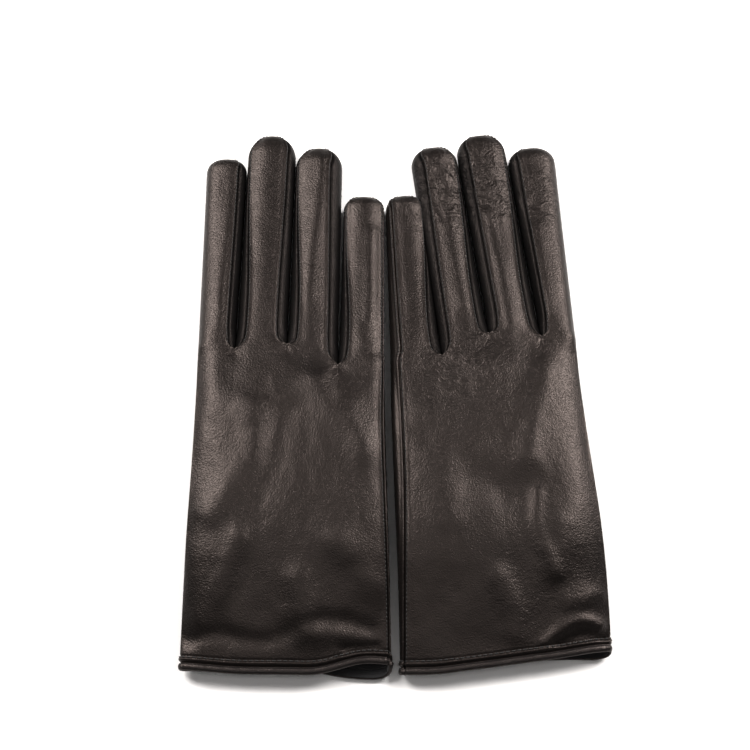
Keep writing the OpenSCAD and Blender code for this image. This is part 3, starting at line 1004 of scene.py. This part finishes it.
def thumb_rings(root, way, inset):
    """The thumb lies under the palm, its tip towards the pair's middle."""
    across = np.array([way[1], -way[0]])
    rings = []
    start, end = inset - THUMB["heel"], THUMB["length"] - inset
    for v in np.linspace(0.02, math.pi - 0.02, 40):
        share = (1 - math.cos(v)) / 2
        distance = start + (end - start) * share
        blunt = math.sin(v) ** 0.42
        half = (THUMB["half"] - THUMB["taper"] * share - inset) * blunt
        thick = (THUMB["thick"] / 2 - inset) * math.sin(v) ** 0.5
        middle = THUMB["thick"] / 2 + THUMB["raised"] * (1 + math.sin(5 * share))
        ring = []
        for angle in circle(36):
            c, s = math.cos(angle), math.sin(angle)
            x = half * math.copysign(abs(c) ** 0.85, c)
            z = middle + thick * math.copysign(abs(s) ** 0.85, s)
            ring.append([*(root + way * distance + across * x), z])
        rings.append(np.array(ring))
    return rings


def build_thumb(name):
    sign = -1 if name == "right" else 1
    root = np.array(THUMB_ROOT[name])
    turn = math.radians(THUMB["angle"])
    way = np.array([-sign * math.sin(turn), math.cos(turn)])
    points, faces = loft(thumb_rings(root, way, 0.0))

    def round_root(r, z):
        turns = circle(36)
        return np.column_stack([root[0] + r * np.cos(turns), root[1] + r * np.sin(turns), np.full(len(turns), z)])

    tube, tube_faces = loft([round_root(r, z) for r, z in COLLAR])
    faces += [tuple(i + len(points) for i in f) for f in tube_faces]
    points = np.concatenate([points, tube])
    mesh = frame_mesh(f"{name}_thumb", points, faces)
    shell = finish_piece(f"{name}_thumb_leather", mesh, nappa, points)
    belongs(shell, "black_nappa_leather", f"{name}_thumb_shell", body=f"{name}_thumb")
    inner_points, inner_faces = loft(thumb_rings(root, way, LEATHER))
    mesh = frame_mesh(f"{name}_thumb_knit", inner_points, inner_faces)
    inner = finish_piece(f"{name}_thumb_knit", mesh, knit, inner_points)
    belongs(inner, "knitted_lining", f"{name}_thumb_lining", body=f"{name}_thumb")
    ring = round_root(*THUMB_STITCHES)
    ring = np.concatenate([ring, ring[:1]])
    down = np.tile([0, 0, -1.0], (len(ring), 1))
    sewing = stitches_piece(f"{name}_thumb_threads", [(ring, down)], thread)
    belongs(sewing, "black_thread", f"{name}_thumb_seam_stitching", body=f"{name}_hand")


for glove_name, glove in GLOVES.items():
    leather = Leather(glove_name, glove)
    build_hand(glove_name, leather)
    for one in leather.fingers:
        build_finger(glove_name, leather, one)
    build_cuff(glove_name, leather)
    build_thumb(glove_name)


# ---------------------------------------------------------------- stage


def area_light(name, place, size, power):
    """A warm white softbox turned to the gloves."""
    data = bpy.data.lights.new(name, "AREA")
    data.shape = "RECTANGLE"
    data.size, data.size_y = size
    data.energy = power
    data.color = (1, 0.97, 0.95)
    light = add_object(name, data)
    light.location = place
    light.rotation_euler = (-Vector(place)).to_track_quat("-Z", "Y").to_euler()


def build_stage():
    mesh = bpy.data.meshes.new("floor")
    half = 3.0
    mesh.from_pydata([(-half, -half, 0), (half, -half, 0), (half, half, 0), (-half, half, 0)], [], [(0, 1, 2, 3)])
    floor = add_object("floor", mesh)
    # a hair below the table's plane, so that nothing cuts into it
    floor.location.z = -0.0003
    mesh.materials.append(plain_material("floor", (0.95, 0.95, 0.95), 0.8))
    world = bpy.data.worlds.new("studio")
    bpy.context.scene.world = world
    world.use_nodes = True
    background = world.node_tree.nodes["Background"]
    background.inputs["Color"].default_value = (1, 1, 1, 1)
    background.inputs["Strength"].default_value = 0.11
    area_light("left_box", (-0.82, 0.55, 0.88), (0.46, 0.8), 23.5)
    area_light("right_box", (0.84, 0.51, 0.86), (0.42, 0.75), 24)
    area_light("front_box", (0.0, -0.30, 1.25), (1.1, 0.5), 3.6)


def build_camera():
    """The eye is on the cuffs' side, 70 degrees above the table."""
    distance, elevation = 0.7, math.radians(70)
    target = Vector((-0.0082, 0.0079, 0))
    data = bpy.data.cameras.new("camera")
    data.angle = math.radians(26.1)
    camera = add_object("camera", data)
    camera.location = target + distance * Vector((0, -math.cos(elevation), math.sin(elevation)))
    camera.rotation_euler = (target - camera.location).to_track_quat("-Z", "Y").to_euler()
    bpy.context.scene.camera = camera


build_stage()
build_camera()
bpy.context.scene.view_settings.view_transform = "Standard"
bpy.context.scene.view_settings.gamma = 0.8
